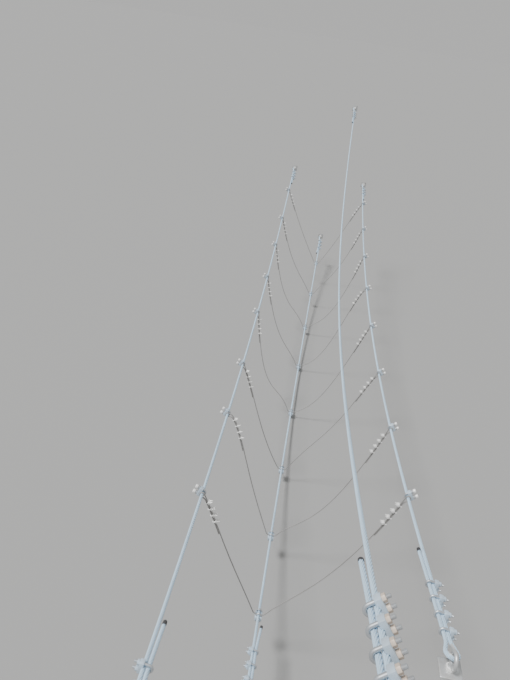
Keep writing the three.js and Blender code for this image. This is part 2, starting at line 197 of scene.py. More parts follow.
def drawOut(name, outline, length, steps, turns=0.0):
    # An outline in the XY plane, drawn out along Z, turned as it goes and closed at both ends.
    deselect()
    bpy.ops.mesh.primitive_circle_add(vertices=len(outline), radius=1, fill_type="NOTHING")
    piece = bpy.context.object
    piece.name = name
    for vertex, (x, y) in zip(piece.data.vertices, outline):
        vertex.co = (x, y, 0)
    screw = piece.modifiers.new("screw", "SCREW")
    screw.axis = "Z"
    screw.angle = 2 * math.pi * turns
    screw.screw_offset = length
    screw.steps = steps
    screw.render_steps = steps
    screw.use_normal_calculate = False
    screw.use_smooth_shade = False
    applyModifiers(piece)
    bpy.ops.object.mode_set(mode="EDIT")
    bpy.ops.mesh.select_all(action="SELECT")
    bpy.ops.mesh.fill_holes(sides=0)
    bpy.ops.mesh.normals_make_consistent(inside=False)
    bpy.ops.object.mode_set(mode="OBJECT")
    return piece


def bendAlong(piece, route):
    # Bends a piece that stands along Z onto a route.
    data = bpy.data.curves.new("guide", "CURVE")
    data.dimensions = "3D"
    spline = data.splines.new("POLY")
    spline.points.add(len(route) - 1)
    for point, place in zip(spline.points, route):
        point.co = (*place, 1)
    guide = bpy.data.objects.new("guide", data)
    bpy.context.scene.collection.objects.link(guide)
    bpy.context.view_layer.update()
    bend = piece.modifiers.new("bend", "CURVE")
    bend.object = guide
    bend.deform_axis = "POS_Z"
    applyModifiers(piece)
    bpy.data.objects.remove(guide)
    return piece


def circleOutline(radius, sides):
    return [
        (radius * math.cos(2 * math.pi * k / sides), radius * math.sin(2 * math.pi * k / sides))
        for k in range(sides)
    ]


# Routes, as rows of points

def evenRoute(points, spacing):
    points = np.array([tuple(p) for p in points])
    pace = np.linalg.norm(np.diff(points, axis=0), axis=1)
    along = np.concatenate(([0], np.cumsum(pace)))
    count = max(int(round(along[-1] / spacing)), 2)
    places = np.linspace(0, along[-1], count + 1)
    return np.stack([np.interp(places, along, points[:, axis]) for axis in range(3)], axis=1)


def softRoute(points, spacing, rounds):
    route = evenRoute(points, spacing)
    for _ in range(rounds):
        route[1:-1] = 0.25 * route[:-2] + 0.5 * route[1:-1] + 0.25 * route[2:]
    return route


def routeLength(route):
    return float(np.linalg.norm(np.diff(route, axis=0), axis=1).sum())


# Materials

ropeLook = {
    "strands": 6,
    "groove": 0.68,  # how near to the middle the grooves between strands reach, as a share of the radius
    "cablePace": 0.009,  # from one ring of a cable's mesh to the next
    "cableSides": 5,  # faces across each strand
    "cableLay": 12.5,  # length of one turn of the strands, in radii
    "thinPace": 0.0038,  # the same for the suspenders
    "thinSides": 3,
    "smooth": 80,
}

# Ropes have the count of wires that show round them and how far those stand out. The rest has how fine its specks
# are and how much dirt it has.
# The grimeAndShade colour is where dirt lies and, on ropes, also painted shade in the grooves between strands and
# between wires.
finishes = {
    # The blue tint of both galvanised rope colours is painted sky reflection.
    "galvanisedRope": {
        "clean": (0.64, 0.83, 1.0), "grimeAndShade": (0.36, 0.47, 0.56), "metal": 0.06, "rough": 0.45,
        "wires": 48, "relief": 0.0005,
    },
    "dullRope": {
        "clean": (0.46, 0.45, 0.44), "grimeAndShade": (0.13, 0.13, 0.125), "metal": 0.15, "rough": 0.58,
        "wires": 36, "relief": 0.0002,
    },
    # The blue tint of the cast zinc colours is painted sky reflection.
    "castZinc": {
        "clean": (0.62, 0.75, 0.87), "grimeAndShade": (0.33, 0.36, 0.39), "metal": 0.3, "rough": 0.5,
        "grain": 120.0, "dirt": 0.5,
    },
    "brightZinc": {
        "clean": (0.96, 0.96, 0.95), "grimeAndShade": (0.62, 0.60, 0.57), "metal": 0.15, "rough": 0.36,
        "grain": 160.0, "dirt": 0.35,
    },
    "boltSteel": {
        "clean": (0.60, 0.64, 0.68), "grimeAndShade": (0.30, 0.27, 0.24), "metal": 0.75, "rough": 0.4,
        "grain": 140.0, "dirt": 0.45,
    },
    "yellowZinc": {
        "clean": (0.77, 0.67, 0.57), "grimeAndShade": (0.44, 0.33, 0.26), "metal": 0.35, "rough": 0.5,
        "grain": 120.0, "dirt": 0.7,
    },
    "ringSteel": {
        "clean": (0.66, 0.68, 0.69), "grimeAndShade": (0.36, 0.30, 0.25), "metal": 0.65, "rough": 0.42,
        "grain": 70.0, "dirt": 0.5,
    },
    "blackTape": {
        "clean": (0.035, 0.035, 0.04), "grimeAndShade": (0.09, 0.085, 0.08), "metal": 0.0, "rough": 0.55,
        "grain": 90.0, "dirt": 0.5,
    },
}

# How much there is of each kind of painted shade (in the grooves between strands and between the wires) and of
# dirt (in patches and specks), the scale and range of its noise, and how much it dulls
ropeDirtAndShade = {
    # painted shade, darkest in the grooves between strands
    "groove": 0.7,  # in the grooves between strands
    "patches": 0.2,
    "patchNoise": (5.0, 0.35, 0.75),
    "specks": 0.14,
    "speckNoise": (90.0, 0.45, 0.8),
    # painted shade in the troughs between the wires
    "wires": 0.14,  # between the wires
    "dulling": 0.3,
    "bump": 0.7,
}
metalDirt = {
    "patchNoise": (9.0, 0.4, 0.75),
    "specks": 0.3,  # of the dirt in patches
    "speckRange": (0.4, 0.8),
    "dulling": 0.25,
    "relief": 0.0003,
    "bump": 0.35,
}


def startMaterial(name):
    finish = finishes[name]
    material = bpy.data.materials.new(name)
    material.use_nodes = True
    tree = material.node_tree
    shader = tree.nodes["Principled BSDF"]
    shader.inputs["Metallic"].default_value = finish["metal"]
    return material, tree, shader, finish


def addNode(tree, kind, settings=None, **inputs):
    node = tree.nodes.new(kind)
    for key, value in (settings or {}).items():
        setattr(node, key, value)
    for key, value in inputs.items():
        socket = node.inputs[int(key[5:])] if key.startswith("input") else node.inputs[key]
        if isinstance(value, bpy.types.NodeSocket):
            tree.links.new(value, socket)
        else:
            socket.default_value = value
    return node


def sumOf(tree, kind, *values):
    inputs = {f"input{k}": value for k, value in enumerate(values)}
    return addNode(tree, "ShaderNodeMath", {"operation": kind}, **inputs).outputs[0]


def mixColours(tree, share, first, second):
    mix = tree.nodes.new("ShaderNodeMix")
    mix.data_type = "RGBA"
    for socket, value in ((mix.inputs[0], share), (mix.inputs[6], first), (mix.inputs[7], second)):
        if isinstance(value, bpy.types.NodeSocket):
            tree.links.new(value, socket)
        else:
            socket.default_value = value if isinstance(value, float) else (*value, 1)
    return mix.outputs[2]


def patchiness(tree, scale, low, high, detail=4.0):
    place = tree.nodes.new("ShaderNodeTexCoord").outputs["Object"]
    noise = addNode(tree, "ShaderNodeTexNoise", Vector=place, Scale=scale, Detail=detail, Roughness=0.6)
    spread = addNode(tree, "ShaderNodeMapRange", Value=noise.outputs[0])
    spread.inputs["From Min"].default_value = low
    spread.inputs["From Max"].default_value = high
    return spread.outputs[0]


def makeRopeMaterial(name):
    # u runs once round the rope with the strands, v counts the turns of the lay.
    material, tree, shader, finish = startMaterial(name)
    uv = addNode(tree, "ShaderNodeUVMap", {"uv_map": "lay"})
    split = addNode(tree, "ShaderNodeSeparateXYZ", Vector=uv.outputs[0])
    strand = sumOf(tree, "FRACT", sumOf(tree, "MULTIPLY", split.outputs[0], float(ropeLook["strands"])))
    valley = sumOf(tree, "MULTIPLY", sumOf(tree, "ABSOLUTE", sumOf(tree, "SUBTRACT", strand, 0.5)), 2.0)
    # The grooves between strands are darkened as painted shade.
    groove = sumOf(tree, "POWER", valley, 3.0)
    turned = sumOf(tree, "ADD", split.outputs[0], split.outputs[1])
    wave = sumOf(tree, "SINE", sumOf(tree, "MULTIPLY", turned, 2 * math.pi * finish["wires"]))
    wire = sumOf(tree, "MULTIPLY_ADD", wave, 0.5, 0.5)
    patches = patchiness(tree, *ropeDirtAndShade["patchNoise"])
    specks = patchiness(tree, *ropeDirtAndShade["speckNoise"])
    # The mask starts from painted shade in the grooves, then adds dirt in patches and specks.
    dirt = sumOf(tree, "MULTIPLY", groove, ropeDirtAndShade["groove"])
    dirt = sumOf(tree, "MULTIPLY_ADD", patches, ropeDirtAndShade["patches"], dirt)
    dirt = sumOf(tree, "MULTIPLY_ADD", specks, ropeDirtAndShade["specks"], dirt)
    # painted shade in the troughs between the wires
    between = sumOf(tree, "MULTIPLY", sumOf(tree, "SUBTRACT", 1.0, wire), ropeDirtAndShade["wires"])
    dirt = addNode(tree, "ShaderNodeClamp", Value=sumOf(tree, "ADD", dirt, between)).outputs[0]
    colour = mixColours(tree, dirt, finish["clean"], finish["grimeAndShade"])
    tree.links.new(colour, shader.inputs["Base Color"])
    rough = sumOf(tree, "MULTIPLY_ADD", dirt, ropeDirtAndShade["dulling"], finish["rough"])
    tree.links.new(rough, shader.inputs["Roughness"])
    bump = addNode(tree, "ShaderNodeBump", Height=wire, Distance=finish["relief"], Strength=ropeDirtAndShade["bump"])
    tree.links.new(bump.outputs[0], shader.inputs["Normal"])
    return material


def makeMetalMaterial(name):
    material, tree, shader, finish = startMaterial(name)
    patches = patchiness(tree, *metalDirt["patchNoise"])
    specks = patchiness(tree, finish["grain"], *metalDirt["speckRange"])
    dirt = sumOf(tree, "MULTIPLY", patches, finish["dirt"])
    dirt = sumOf(tree, "MULTIPLY_ADD", specks, metalDirt["specks"] * finish["dirt"], dirt)
    dirt = addNode(tree, "ShaderNodeClamp", Value=dirt).outputs[0]
    tree.links.new(mixColours(tree, dirt, finish["clean"], finish["grimeAndShade"]), shader.inputs["Base Color"])
    rough = sumOf(tree, "MULTIPLY_ADD", dirt, metalDirt["dulling"], finish["rough"])
    tree.links.new(rough, shader.inputs["Roughness"])
    relief, strength = metalDirt["relief"], metalDirt["bump"]
    bump = addNode(tree, "ShaderNodeBump", Height=specks, Distance=relief, Strength=strength)
    tree.links.new(bump.outputs[0], shader.inputs["Normal"])
    return material


materials = {
    name: makeRopeMaterial(name) if "wires" in finish else makeMetalMaterial(name)
    for name, finish in finishes.items()
}


def giveMaterial(piece, name):
    piece.data.materials.clear()
    piece.data.materials.append(materials[name])
    return piece


def hang(piece, slot):
    # Everything is fixed to the one body of the bridge.
    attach(piece, "root")
    return piece


print("materials mixed")


# Wire rope

def ropeOutline(radius, perStrand):
    outline = []
    count = ropeLook["strands"] * perStrand
    strandAngle = 360 / ropeLook["strands"]
    for k in range(count):
        turn = 2 * math.pi * k / count
        lean = math.radians(strandAngle * ((k % perStrand) / perStrand) - strandAngle / 2)
        reach = (2 / 3) * math.cos(lean) + math.sqrt(max(1 / 9 - (4 / 9) * math.sin(lean) ** 2, 0))
        reach = max(reach, ropeLook["groove"])
        outline.append((radius * reach * math.cos(turn), radius * reach * math.sin(turn)))
    return outline


def windUv(piece, length, turns):
    mesh = piece.data
    layer = mesh.uv_layers.new(name="lay")
    places = np.zeros(len(mesh.vertices) * 3)
    mesh.vertices.foreach_get("co", places)
    places = places.reshape(-1, 3)
    v = places[:, 2] / length * turns
    u = (np.arctan2(places[:, 1], places[:, 0]) / (2 * math.pi) - v) % 1.0
    corners = np.zeros(len(mesh.loops), int)
    mesh.loops.foreach_get("vertex_index", corners)
    starts = np.zeros(len(mesh.polygons), int)
    sizes = np.zeros(len(mesh.polygons), int)
    mesh.polygons.foreach_get("loop_start", starts)
    mesh.polygons.foreach_get("loop_total", sizes)
    first = np.repeat(u[corners[starts]], sizes)
    around = u[corners]
    around = around - np.round(around - first)
    layer.data.foreach_set("uv", np.stack([around, v[corners]], axis=1).ravel())


def layRope(name, route, radius, lay, pace, perStrand, material):
    length = routeLength(route)
    turns = length / lay
    steps = max(int(round(length / pace)), 4)
    rope = drawOut(name, ropeOutline(radius, perStrand), length, steps, turns)
    windUv(rope, length, turns)
    bendAlong(rope, route)
    giveMaterial(rope, material)
    return smoothFaces(rope, ropeLook["smooth"])


def layThinRope(name, route):
    radius, lay = suspending["radius"], suspending["lay"]
    return layRope(name, route, radius, lay, ropeLook["thinPace"], ropeLook["thinSides"], "dullRope")


def layCableRope(name, route, radius):
    lay = ropeLook["cableLay"] * radius
    return layRope(name, route, radius, lay, ropeLook["cablePace"], ropeLook["cableSides"], "galvanisedRope")


# The four cables

span = {
    "foot": {
        "radius": 0.009,
        "near": (0, 0, 0.060),
        "far": (0, 8.850, 0.060),
        "sag": 0.515,
        "nearPlay": 0.00125,  # by how much the eye stands off the inside of its ring
        "farPlay": 0.0014,
        "nearRoll": 10,  # degrees that the plane of the near eye dips to the right
        "nearLean": 0,  # degrees that the near anchor leans with it
        "nearNuts": -1,  # side to which the near grips' nuts point, 1 is right
        "nearTail": 1,  # side of the live rope that the dead end lies on
        "farTail": -1,
        "pitch": 0.112,  # from one grip to the next
        "nearOver": 0.230,  # how far the near dead end reaches past the last grip
        "lift": 0.014,  # how far the dead end's tip stands off
    },
    "left": {
        "radius": 0.009,
        "near": (-0.424, -1.030, 1.353),
        "far": (-0.676, 8.851, 1.204),
        "sag": 0.615,
        "nearPlay": 0.0014,
        "farPlay": 0.00175,
        "nearRoll": 10,
        "nearLean": 0,
        "nearNuts": -1,
        "nearTail": 1,
        "farTail": 1,
        "pitch": 0.102,
        "nearOver": 0.253,
        "lift": 0.005,
    },
    "right": {
        "radius": 0.009,
        "near": (0.710, -0.390, 1.412),
        "far": (0.562, 8.756, 1.133),
        "sag": 0.498,
        "nearPlay": 0.0014,
        "farPlay": 0.0014,
        "nearRoll": 10,
        "nearLean": 0,
        "nearNuts": 1,
        "nearTail": -1,
        "farTail": 1,
        "pitch": 0.099,
        "nearOver": 0.261,
        "lift": 0.005,
    },
    "safety": {
        "radius": 0.008,
        "near": (0.180, -1.365, 2.439),
        "far": (0.159, 8.898, 2.329),
        "sag": 0.892,
        "nearPlay": 0.0035,
        "farPlay": 0.0029,
        "nearRoll": -40,
        "nearLean": -40,
        "nearNuts": 1,
        "nearTail": -1,
        "farTail": -1,
        "pitch": 0.075,
        "nearOver": 0.215,
        "lift": 0.005,
    },
}
nodeOf = {
    "foot": "foot_cable",
    "left": "left_hand_cable",
    "right": "right_hand_cable",
    "safety": "safety_cable",
}

eye = {
    "farRoll": 40,  # degrees that the plane of a far eye dips to the right
    "radius": 0.028,
    "turn": 105,  # degrees that the rope turns on each side of its crown
    "turnStep": 7,
    "throat": 0.090,  # from the crown to where the two strands lie close
    "thimble": 0.003,
    "flange": 0.002,
    "ringInner": 0.021,
    "strandGap": 0.0005,
}

gripping = {
    "first": 0.146,  # from the crown of the eye
    "near": 4,
    "far": 3,
    "farOver": 0.230,  # how far a far dead end reaches past its last grip
    "liftCurve": 1.3,  # the power by which a dead end's tip stands off more and more
}

# How finely the ropes' routes are set out, and how many times they are softened
routing = {
    "spanPoints": 900,
    "tailPoints": 30,
    "legPoints": 120,
    "cableStep": 0.006,
    "thinStep": 0.005,
    "rounds": 6,
    "pathStep": 0.012,  # of the path that a cord is measured on
}


def spanPoint(cable, share):
    point = cable["start"].lerp(cable["end"], share)
    point.z -= 4 * cable["hang"] * share * (1 - share)
    return point


def spanDirection(cable, share):
    return (spanPoint(cable, share + 1e-4) - spanPoint(cable, share - 1e-4)).normalized()


def squareTo(direction, other):
    return (direction - other * direction.dot(other)).normalized()


def eyeTurns():
    return [math.radians(angle) for angle in range(eye["turn"], -eye["turn"] - 1, -eye["turnStep"])]


def makeEnd(ring, inward, spec, which):
    dip = math.radians(spec["nearRoll"] if which == "near" else eye["farRoll"])
    right = squareTo(Vector((math.cos(dip), 0, -math.sin(dip))), inward)
    halfWidth = spec["radius"] + eye["flange"]
    reach = math.sqrt((eye["ringInner"] - spec[f"{which}Play"]) ** 2 - halfWidth ** 2)
    crown = ring + inward * (reach - spec["radius"] - eye["thimble"])
    return {
        "crown": crown,
        "centre": crown + inward * eye["radius"],
        "throat": crown + inward * eye["throat"],
        "right": right,
        "inward": inward,
        "side": spec[f"{which}Tail"],
        "halfPitch": spec["radius"] + eye["strandGap"] / 2,
    }


def layCable(spec):
    ringNear, ringFar = Vector(spec["near"]), Vector(spec["far"])
    chord = {"start": ringNear, "end": ringFar, "hang": spec["sag"]}
    near = makeEnd(ringNear, spanDirection(chord, 0), spec, "near")
    far = makeEnd(ringFar, -spanDirection(chord, 1), spec, "far")
    start, end = (e["throat"] - e["right"] * e["side"] * e["halfPitch"] for e in (near, far))
    shorter = (end.y - start.y) / (ringFar.y - ringNear.y)
    hang = spec["sag"] * shorter ** 2
    return {"start": start, "end": end, "hang": hang, "near": near, "far": far, "spec": spec}


def shareFrom(cable, distance, fromFar):
    share = distance / (cable["end"] - cable["start"]).length
    return 1 - share if fromFar else share


def tailPoint(cable, which, distance, last, over):
    end = cable[which]
    lift = cable["spec"]["lift"] * (max(distance - last, 0) / over) ** gripping["liftCurve"]
    live = spanPoint(cable, shareFrom(cable, distance, which == "far"))
    return live + end["right"] * end["side"] * (2 * end["halfPitch"] + lift)


def cableRoute(cable):
    points = []
    for which in ("near", "far"):
        end = cable[which]
        last = gripping["first"] + (gripping[which] - 1) * cable["spec"]["pitch"] - eye["throat"]
        over = gripping["farOver"] if which == "far" else cable["spec"]["nearOver"]
        count = routing["tailPoints"]
        tail = [tailPoint(cable, which, (last + over) * k / count, last, over) for k in range(count, -1, -1)]
        arc = []
        for turn in eyeTurns():
            arc.append(
                end["centre"]
                - end["inward"] * eye["radius"] * math.cos(turn)
                + end["right"] * end["side"] * eye["radius"] * math.sin(turn)
            )
        if which == "near":
            points += tail + arc
            count = routing["spanPoints"]
            points += [spanPoint(cable, k / count) for k in range(count + 1)]
        else:
            points += arc[::-1] + tail[::-1]
    return softRoute(points, routing["cableStep"], routing["rounds"])


cables = {name: layCable(spec) for name, spec in span.items()}


# Suspenders, which are the only slack ropes

# Where the clamps sit along the bridge, and how much further on each left hand clamp is
stations = [0.820, 1.700, 2.695, 3.805, 4.895, 5.960, 6.975, 7.980]
leftCreep = [-0.125, 0.050, -0.030, 0.095, 0.025, 0.015, -0.050, 0.0]

suspending = {
    "radius": 0.004,
    "lay": 0.050,
    # How far each leg hangs below its straight line, how much that belly is pushed up the leg, and how far
    # the leg stands out near its top, where its rope is doubled and stiff.
    "leftLegs": [
        (0.041, 2.4, 0.037), (0.0, 1.3, 0.096), (0.081, 0.92, 0.035), (0.306, 1.94, 0.0),
        (0.203, 1.66, 0.0), (0.240, 1.8, 0.0), (0.140, 1.6, 0.0), (0.050, 1.2, 0.0),
    ],
    "rightLegs": [
        (0.159, 1.49, 0.0), (0.264, 1.51, 0.040), (0.206, 2.71, 0.140), (0.264, 1.09, 0.044),
        (0.261, 1.11, 0.136), (0.290, 1.25, 0.0), (0.150, 1.5, 0.0), (0.044, 1.0, 0.031),
    ],
    "topShare": 0.08,  # of a leg, which sets the angle at which it leaves its hand cable
    "beside": 0.022,  # from the clamp to the eye, towards the near end
    "wrap": 0.0135,  # from the hand cable's middle to the middle of the rope round it
    "below": 0.0139,  # from the foot cable's middle to the middle of the rope under it
    "flat": 0.012,  # half of the straight stretch under the foot cable
    "bend": 0.034,
    "bendRounds": 5,  # in which a leg's foot and its bend are fitted to each other
    "footShare": 0.95,  # of a leg, which sets the angle at which it comes down to its bend
    "shoulder": 4,  # how near to its top a leg stands out
}
seatHalf = 0.045  # half of the stretch of cable that a clamp is lined up with


def shareAt(cable, y):
    return (y - cable["start"].y) / (cable["end"].y - cable["start"].y)


def clampSeat(cable, y):
    half = seatHalf / (cable["end"] - cable["start"]).length
    first, second = (spanPoint(cable, shareAt(cable, y) + way * half) for way in (-1, 1))
    return (first + second) / 2, (second - first).normalized()


def belly(shape, share):
    sag, skew, shoulder = shape

    def curve(tilt):
        peak = (tilt / (1 + tilt)) ** tilt / (1 + tilt)
        return share * (1 - share) ** tilt / peak

    return sag * curve(skew) - shoulder * curve(suspending["shoulder"])


def legPoint(top, foot, shape, share):
    return top.lerp(foot, share) - Vector((0, 0, belly(shape, share)))


def bendPoint(under, side, angle):
    reach = suspending["flat"] + suspending["bend"] * math.sin(abs(angle))
    rise = math.copysign(suspending["bend"] * (1 - math.cos(angle)), angle)
    return under + Vector((side * reach, 0, rise))


def legFoot(under, top, side, shape):
    # Where the straight stretch under the foot cable has bent up into the leg.
    foot, angle = under.copy(), 0.0
    for _ in range(suspending["bendRounds"]):
        above = legPoint(top, foot, shape, suspending["footShare"])
        angle = math.atan2(above.z - foot.z, abs(above.x - foot.x))
        foot = bendPoint(under, side, angle)
    return foot, angle


def underFoot(number):
    seat, _ = clampSeat(cables["foot"], stations[number])
    return seat - Vector((0, 0, suspending["below"]))


def hangTop(number, side):
    # Where a leg leaves the hand cable it is hung on, just on the near side of the clamp.
    name = "left" if side < 0 else "right"
    y = stations[number] + (leftCreep[number] if side < 0 else 0)
    seat, along = clampSeat(cables[name], y)
    over = Vector((1, 0, 0)).cross(along).normalized()
    inner = along.cross(over) * -side
    under = underFoot(number)
    shape = suspending[f"{name}Legs"][number]
    centre = seat - along * suspending["beside"]
    run = abs(centre.x - under.x) - suspending["flat"]
    topShare = suspending["topShare"]
    steep = math.atan2(centre.z - under.z + belly(shape, topShare) / topShare, run)
    normal = inner * math.sin(steep) + over * math.cos(steep)
    return centre, inner, over, steep, centre + normal * suspending["wrap"], shape


def suspenderRoute(number):
    under = underFoot(number)
    halves = []
    for side in (-1, 1):
        _, _, _, _, top, shape = hangTop(number, side)
        foot, angle = legFoot(under, top, side, shape)
        count = routing["legPoints"]
        half = [legPoint(top, foot, shape, k / count) for k in range(count + 1)]
        half += [bendPoint(under, side, angle * k) for k in (0.75, 0.5, 0.25, 0)]
        halves.append(half)
    return softRoute(halves[0] + [under] + halves[1][::-1], routing["thinStep"], routing["rounds"])


# U-bolts, saddles and nuts, made round a rope along Y with their legs along +X

cableGrip = {
    "bar": 0.0055,  # radius of the bolt
    "seatGap": 0.0004,
    "bite": 0.0006,
    "saddleThick": 0.012,
    "saddleLength": 0.028,
    "saddleMargin": 0.004,
    "ear": 0.006,
    "nutFlats": 0.019,
    "nutThick": 0.010,
    "threadLeft": 0.012,
    "threadPitch": 0.0024,
    "sides": 14,
    "bolts": "boltSteel",
    "nuts": "castZinc",
    "saddle": "castZinc",
}

thinGrip = {
    "bar": 0.003,
    "seatGap": 0.0002,
    "bite": 0.0002,
    "saddleThick": 0.008,
    "saddleLength": 0.018,
    "saddleMargin": 0.002,
    "ear": 0.003,
    "nutFlats": 0.011,
    "nutThick": 0.006,
    "threadLeft": 0.009,
    "threadPitch": 0.003,
    "sides": 8,
    "bolts": "brightZinc",
    "nuts": "brightZinc",
    "saddle": "brightZinc",
}

# What all U-bolts, nuts and saddles share
fitting = {
    "arcSteps": 12,
    "routeStep": 0.001,
    "threadFrom": 0.6,  # of the way to the nuts
    "threadRoot": 0.88,  # of the bolt's radius
    "nutBevel": 0.07,  # of the nut's thickness
    "saddleBevel": 0.16,
    "ropeGap": 0.0002,  # between a saddle and its rope
    "ropeSides": 32,
}


def placeOnRope(point, rope, legs):
    across = squareTo(legs, rope)
    turn = Matrix((across, rope, across.cross(rope))).transposed().to_4x4()
    return Matrix.Translation(point) @ turn


def makeBolt(spec, inner, underNuts, legEnd, centre=0.0):
    # centre is where the middle of the bolt's arc lies along its legs.
    bar, sides = spec["bar"], spec["sides"]
    reach = inner + bar
    arc = [math.pi * k / fitting["arcSteps"] for k in range(1, fitting["arcSteps"])]
    points = [(legEnd, 0, reach), (centre, 0, reach)]
    points += [(centre - reach * math.sin(a), 0, reach * math.cos(a)) for a in arc]
    points += [(centre, 0, -reach), (legEnd, 0, -reach)]
    route = evenRoute(points, fitting["routeStep"])
    length = routeLength(route)
    steps = int(length / spec["threadPitch"] * 2)
    rod = drawOut("bolt", circleOutline(bar, sides), length, steps)
    threaded = legEnd - fitting["threadFrom"] * underNuts
    for vertex in rod.data.vertices:
        ring = vertex.index // sides
        fromEnd = min(ring, steps - ring)
        if fromEnd * length / steps < threaded and fromEnd % 2 == 0:
            vertex.co.x *= fitting["threadRoot"]
            vertex.co.y *= fitting["threadRoot"]
    bendAlong(rod, route)
    pieces = [giveMaterial(rod, spec["bolts"])]
    for side in (-1, 1):
        nut = addCylinder(
            spec["nutFlats"] / math.sqrt(3),
            spec["nutThick"],
            (underNuts + spec["nutThick"] / 2, 0, side * reach),
            "X",
            6,
        )
        bevelEdges(nut, fitting["nutBevel"] * spec["nutThick"], 2)
        pieces.append(giveMaterial(nut, spec["nuts"]))
    return pieces


def plainBolt(spec, inner, underNuts):
    return makeBolt(spec, inner, underNuts, underNuts + spec["nutThick"] + spec["threadLeft"])


def cutRopeWay(block, ropeRadius, length, centre=0):
    cutter = addCylinder(ropeRadius + fitting["ropeGap"], length, (centre, 0, 0), "Y", fitting["ropeSides"])
    return cutAway(block, cutter)


def makeSaddle(spec, inner, ropeRadius, groove, seat):
    depth = spec["saddleThick"] + spec["ear"]
    width = 2 * (inner + 2 * spec["bar"] + spec["saddleMargin"])
    block = addBlock((depth, spec["saddleLength"], width), (seat + spec["saddleThick"] - depth / 2, 0, 0))
    bevelEdges(block, fitting["saddleBevel"] * spec["saddleThick"], 2)
    cutRopeWay(block, ropeRadius, 2 * spec["saddleLength"], groove)
    return giveMaterial(block, spec["saddle"])


def makeGrip(name, spec, ropeRadius, pitch):
    # Holds two ropes lying pitch apart.
    inner = ropeRadius + spec["seatGap"]
    seat = pitch + ropeRadius - spec["bite"]
    pieces = plainBolt(spec, inner, seat + spec["saddleThick"])
    pieces.append(makeSaddle(spec, inner, ropeRadius, pitch, seat))
    return smoothFaces(joinPieces(name, pieces))


# Suspenders, hung from the hand cables and passing under the foot cable

suspenderEye = {
    "grips": 4,
    "first": 0.074,  # metres down the leg
    "pitch": 0.055,
    "tail": 0.36,
    "tailStart": 0.045,  # where the dead end has come to lie beside the leg
    "tailStep": 0.01,
    "tailPace": 0.003,
    "tailRounds": 8,
    "loopPoints": 14,
    "loopStep": 15,  # degrees
    "loopFrom": 0.4,  # of a step
    "apart": 0.0084,  # between the middles of the two ropes
}


def legPlaces(route, side):
    # Distances along one leg from its top, with the points there.
    leg = route if side < 0 else route[::-1]
    along = np.concatenate(([0], np.cumsum(np.linalg.norm(np.diff(leg, axis=0), axis=1))))

    def at(distance):
        return Vector([float(np.interp(distance, along, leg[:, axis])) for axis in range(3)])

    return at


def makeSuspenderEye(name, number, side, route, master):
    centre, inner, over, steep, _, _ = hangTop(number, side)
    at = legPlaces(route, side)
    start = math.pi / 2 - steep
    points = []
    for k in range(suspenderEye["loopPoints"]):
        turn = start + math.radians(suspenderEye["loopStep"] * (k + suspenderEye["loopFrom"]))
        points.append(centre + (inner * math.cos(turn) + over * math.sin(turn)) * suspending["wrap"])
    normal = inner * math.cos(start) + over * math.sin(start)

    def beside(distance):
        rope = (at(distance + 0.004) - at(max(distance - 0.004, 0))).normalized()
        return at(distance) - squareTo(normal, rope) * suspenderEye["apart"], rope

    distance = suspenderEye["tailStart"]
    while distance < suspenderEye["tail"]:
        points.append(beside(distance)[0])
        distance += suspenderEye["tailStep"]
    tailRoute = softRoute(points, suspenderEye["tailPace"], suspenderEye["tailRounds"])
    tail = layThinRope(f"{name}_dead_end", tailRoute)
    grips = []
    for k in range(suspenderEye["grips"]):
        place, rope = beside(suspenderEye["first"] + k * suspenderEye["pitch"])
        grips.append(copyPiece(master, "grip", placeOnRope(place, rope, normal)))
    return [hang(tail, "dull_rope"), hang(joinPieces(f"{name}_grips", grips), "zinc_steel")]


def makeSuspenders():
    master = makeGrip("thin_grip", thinGrip, suspending["radius"], suspenderEye["apart"])
    for number in range(len(stations)):
        route = suspenderRoute(number)
        node = f"suspender_{number + 1}"
        rope = layThinRope(f"{node}_rope", route)
        hang(rope, "dull_rope")
        fittings = []
        for side, word in ((-1, "left"), (1, "right")):
            fittings += makeSuspenderEye(f"{node}_{word}", number, side, route, master)
        for piece in (rope, *fittings):
            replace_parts(piece, node)
    bpy.data.objects.remove(master)


makeSuspenders()
print("suspenders hung")


# The four cables with their thimbles, grips and taped ends

thimbleShape = {
    "thick": 0.0024,
    "gap": 0.0003,  # between the channel and the rope
    "wrap": 62,  # degrees that each side of the channel comes round the rope
    "reach": 0.080,  # from the crown towards the span
    "step": 0.003,
    "rounds": 4,
    "wrapSteps": 6,  # on each side of the channel
}

tape = {
    "length": 0.024,
    "shortLength": 0.012,  # on the near end of the safety cable
    "thick": 0.0006,
    "past": 0.0012,  # how far it covers the cut end
    "draw": 0.9,  # to which its end is drawn in
    "sides": 24,
    "steps": 6,
    "tipPoints": 9,  # of the rope's route, which give its direction
}


